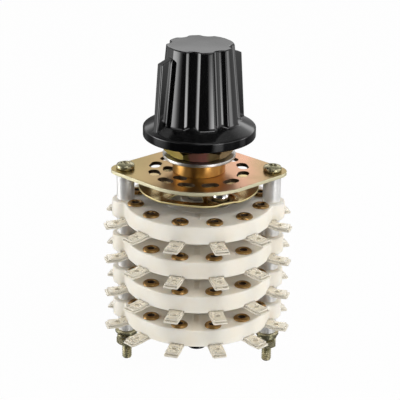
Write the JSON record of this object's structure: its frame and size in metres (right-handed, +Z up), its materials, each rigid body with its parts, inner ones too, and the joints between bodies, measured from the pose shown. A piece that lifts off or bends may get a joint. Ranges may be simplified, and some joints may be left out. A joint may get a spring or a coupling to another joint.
{
  "type": "wafer rotary switch",
  "caption": "Ceramic wafer rotary switch: a fluted knob on a shaft turns rotor contacts in stacked ceramic wafers held by two tie bolts.",
  "frame": {"origin": "on the shaft's axis, on the bushing's shoulder, where a panel is clamped", "axes": "+Z up along the shaft towards the knob; +X towards the right tie bolt; -Y towards the viewer of the picture"},
  "size_m": [0.0554, 0.0554, 0.0997],
  "materials": {
    "black_resin": "glossy moulded thermoset",
    "brass": "turned, slightly tarnished",
    "bright_nickel": "bright nickel plate",
    "bronze_nut": "olive-brown plated steel",
    "yellow_plate": "tan passivated zinc plate",
    "yellow_disc": "bright gold passivated spring steel",
    "yellow_zinc": "yellow passivated zinc plate",
    "steel": "bright steel",
    "aluminium": "drawn tube",
    "ceramic": "dense satin steatite",
    "silver_plate": "dull silver plate"
  },
  "bodies": {
    "frame": {"bushing": "brass", "panel_washer": "bright_nickel", "panel_nut": "bronze_nut", "front_plate": "yellow_plate", "tie_bolt_left": "yellow_zinc", "tie_bolt_right": "yellow_zinc", "upper_spacer_left": "aluminium", "upper_spacer_right": "aluminium", "spacer_1_left": "aluminium", "spacer_1_right": "aluminium", "spacer_2_left": "aluminium", "spacer_2_right": "aluminium", "spacer_3_left": "aluminium", "spacer_3_right": "aluminium", "spacer_4_left": "aluminium", "spacer_4_right": "aluminium", "flat_washer_left": "yellow_zinc", "flat_washer_right": "yellow_zinc", "spring_washer_left": "yellow_zinc", "spring_washer_right": "yellow_zinc", "hex_nut_left": "yellow_zinc", "hex_nut_right": "yellow_zinc", "wafer_1": "ceramic", "wafer_2": "ceramic", "wafer_3": "ceramic", "wafer_4": "ceramic"},
    "rotor": {"shaft": "steel", "shaft_clip": "steel", "detent_disc": "yellow_disc", "detent_ball_1": "steel", "detent_ball_2": "steel", "knob": "black_resin", "knob_insert": "brass", "knob_grub_screw": "steel", "rotor_1": "ceramic", "rotor_2": "ceramic", "rotor_3": "ceramic", "rotor_4": "ceramic", "rotor_blade_1": "silver_plate", "rotor_blade_2": "silver_plate", "rotor_blade_3": "silver_plate", "rotor_blade_4": "silver_plate"}
  },
  "joints": [
    {"name": "shaft_turn", "type": "hinge", "parent": "frame", "child": "rotor", "pos_m": [0, 0, 0], "axis": [0, 0, 1], "range_deg": [-150, 150]}
  ]
}
